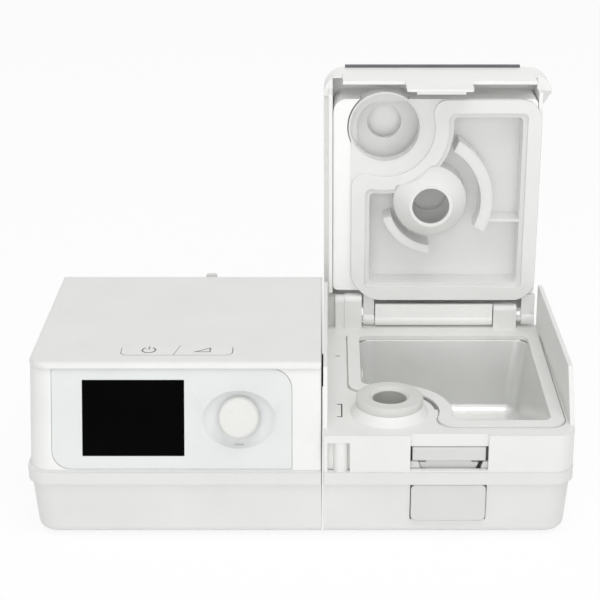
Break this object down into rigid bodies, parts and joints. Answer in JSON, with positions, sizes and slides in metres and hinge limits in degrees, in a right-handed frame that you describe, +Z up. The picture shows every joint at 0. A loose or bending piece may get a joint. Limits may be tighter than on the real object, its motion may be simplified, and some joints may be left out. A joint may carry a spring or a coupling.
{
  "type": "cpap machine",
  "caption": "Bedside CPAP machine: a blower unit with a display, dial and top keys, and a docked heated humidifier with its lid open over a metal water tub.",
  "frame": {"origin": "centre of the footprint of the whole machine with its lid open, on the table", "axes": "+X to the machine's right as seen by its user, -Y towards the user, +Z up"},
  "size_m": [0.29, 0.1792, 0.2161],
  "materials": {
    "body_white": "satin",
    "base_white": "satin",
    "panel_grey": "matte",
    "dial_white": "satin",
    "display_black": "gloss",
    "lcd_frame": "matte",
    "circuit_green": "satin",
    "component_black": "matte",
    "steel": "satin",
    "inner_plastic": "matte",
    "motor_metal": "satin",
    "soft_rubber": "matte",
    "filter_foam": "matte",
    "tub_steel": "brushed",
    "rim_frosted": "satin",
    "soft_frosted": "satin",
    "clear_plastic": "clear",
    "heater_metal": "satin",
    "film_amber": "satin",
    "trim_dark": "satin"
  },
  "bodies": {
    "machine": {"main_lower_case": "base_white", "main_upper_case": "body_white", "front_panel": "panel_grey", "display_glass": "display_black", "lcd_module": "lcd_frame", "control_board": "circuit_green", "encoder_body": "component_black", "key_board": "circuit_green", "key_switches": "component_black", "blower_base": "inner_plastic", "blower_cover": "inner_plastic", "blower_motor": "motor_metal", "blower_mounts": "soft_rubber", "side_outlet_duct": "inner_plastic", "duct_seal": "soft_rubber", "main_board": "circuit_green", "board_parts": "component_black", "dc_inlet": "component_black", "main_feet": "soft_rubber", "main_screws": "steel", "humid_lower_case": "base_white", "humid_upper_frame": "body_white", "heater_plate": "heater_metal", "heater_film": "film_amber", "heater_holder": "inner_plastic", "outlet_cuff": "soft_frosted", "outlet_duct": "inner_plastic", "hose_port": "inner_plastic", "inlet_duct": "inner_plastic", "hinge_pins": "steel", "humid_feet": "soft_rubber", "humid_screws": "steel"},
    "encoder": {"encoder_rotor": "inner_plastic"},
    "dial": {"dial_shaft": "steel", "dial_knob": "dial_white"},
    "power_key": {"power_key": "body_white"},
    "ramp_key": {"ramp_key": "body_white"},
    "fan": {"impeller": "inner_plastic", "motor_shaft": "steel"},
    "filter": {"filter_cover": "body_white", "air_filter": "filter_foam"},
    "tank": {"tank_tub": "tub_steel", "tank_rim": "rim_frosted"},
    "release": {"release_button": "body_white", "latch_bar": "inner_plastic"},
    "lid": {"lid_shell": "body_white", "lid_trim": "trim_dark", "lid_liner": "body_white", "lid_inner_plate": "clear_plastic", "lid_air_channel": "clear_plastic", "lid_gasket": "soft_frosted", "lid_nozzle": "soft_frosted"}
  },
  "joints": [
    {"name": "lid_hinge", "type": "hinge", "parent": "machine", "child": "lid", "pos_m": [0.085, 0.06035, 0.0662], "axis": [-1, 0, 0], "range_deg": [-90, 0]},
    {"name": "release_press", "type": "slide", "parent": "machine", "child": "release", "axis": [0, 1, 0], "range_m": [0, 0.003], "stiffness_N_per_m": 900, "springref_m": -0.001},
    {"name": "tank_lift", "type": "slide", "parent": "machine", "child": "tank", "axis": [0, 0, 1], "range_m": [0, 0.06]},
    {"name": "encoder_turn", "type": "hinge", "parent": "machine", "child": "encoder", "pos_m": [-0.0323, -0.073, 0.06563], "axis": [0, 0.9504, -0.311], "continuous": true},
    {"name": "dial_press", "type": "slide", "parent": "encoder", "child": "dial", "axis": [0, 0.9504, -0.311], "range_m": [0, 0.0006], "stiffness_N_per_m": 3000, "springref_m": -0.0002},
    {"name": "power_press", "type": "slide", "parent": "machine", "child": "power_key", "axis": [0, 0, -1], "range_m": [0, 0.0007], "stiffness_N_per_m": 2500, "springref_m": -0.0002},
    {"name": "ramp_press", "type": "slide", "parent": "machine", "child": "ramp_key", "axis": [0, 0, -1], "range_m": [0, 0.0007], "stiffness_N_per_m": 2500, "springref_m": -0.0002},
    {"name": "impeller_spin", "type": "hinge", "parent": "machine", "child": "fan", "pos_m": [-0.06, -0.01415, 0.05], "axis": [0, 0, 1], "continuous": true},
    {"name": "filter_pull", "type": "slide", "parent": "machine", "child": "filter", "axis": [0, 1, 0], "range_m": [0, 0.012]}
  ]
}
